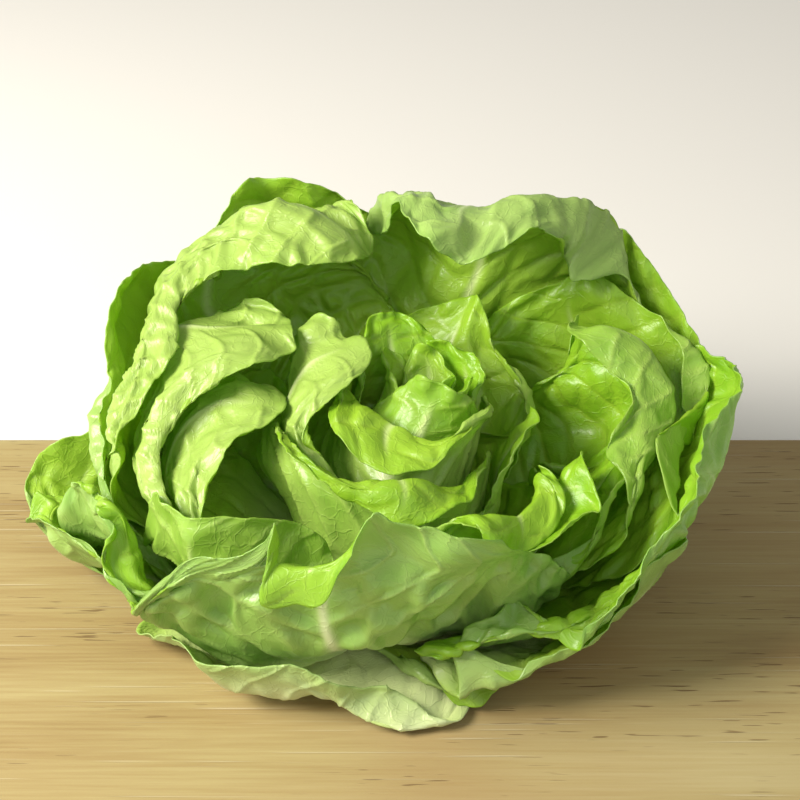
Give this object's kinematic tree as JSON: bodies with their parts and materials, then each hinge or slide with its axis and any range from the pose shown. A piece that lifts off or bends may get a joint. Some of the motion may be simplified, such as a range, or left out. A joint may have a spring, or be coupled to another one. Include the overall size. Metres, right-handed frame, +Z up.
{
  "type": "lettuce on a board",
  "caption": "A loose butterhead lettuce with ruffled yellow-green leaves, standing on a plain wooden chopping board.",
  "frame": {"origin": "middle of the board's underside, which lies on the table", "axes": "+X along the board's long side, +Y towards its far edge, +Z up out of the board"},
  "size_m": [0.45, 0.3228, 0.1717],
  "materials": {
    "board_wood": "worn, lightly oiled, knife-scratched",
    "stem_flesh": "moist cut vegetable flesh",
    "leaf_outer": "waxy and blistered, deeper green",
    "leaf_inner": "waxy and blistered, yellow-green",
    "leaf_heart": "tender and finely ruffled, pale yellow-green"
  },
  "bodies": {
    "root": {"board": "board_wood", "stem": "stem_flesh", "outer_leaf_01": "leaf_outer", "outer_leaf_02": "leaf_outer", "outer_leaf_03": "leaf_outer", "outer_leaf_04": "leaf_outer", "outer_leaf_05": "leaf_outer", "outer_leaf_06": "leaf_outer", "outer_leaf_07": "leaf_outer", "outer_leaf_08": "leaf_outer", "outer_leaf_09": "leaf_outer", "outer_leaf_10": "leaf_outer", "outer_leaf_11": "leaf_outer", "outer_leaf_12": "leaf_outer", "wrapper_leaf_01": "leaf_inner", "wrapper_leaf_02": "leaf_inner", "wrapper_leaf_03": "leaf_inner", "wrapper_leaf_04": "leaf_inner", "wrapper_leaf_05": "leaf_inner", "wrapper_leaf_06": "leaf_inner", "wrapper_leaf_07": "leaf_inner", "wrapper_leaf_08": "leaf_inner", "wrapper_leaf_09": "leaf_inner", "wrapper_leaf_10": "leaf_inner", "wrapper_leaf_11": "leaf_inner", "wrapper_leaf_12": "leaf_inner", "wrapper_leaf_13": "leaf_inner", "wrapper_leaf_14": "leaf_inner", "heart_leaf_01": "leaf_heart", "heart_leaf_02": "leaf_heart", "heart_leaf_03": "leaf_heart", "heart_leaf_04": "leaf_heart", "heart_leaf_05": "leaf_heart", "heart_leaf_06": "leaf_heart", "heart_leaf_07": "leaf_heart", "heart_leaf_08": "leaf_heart", "heart_leaf_09": "leaf_heart"}
  },
  "joints": []
}
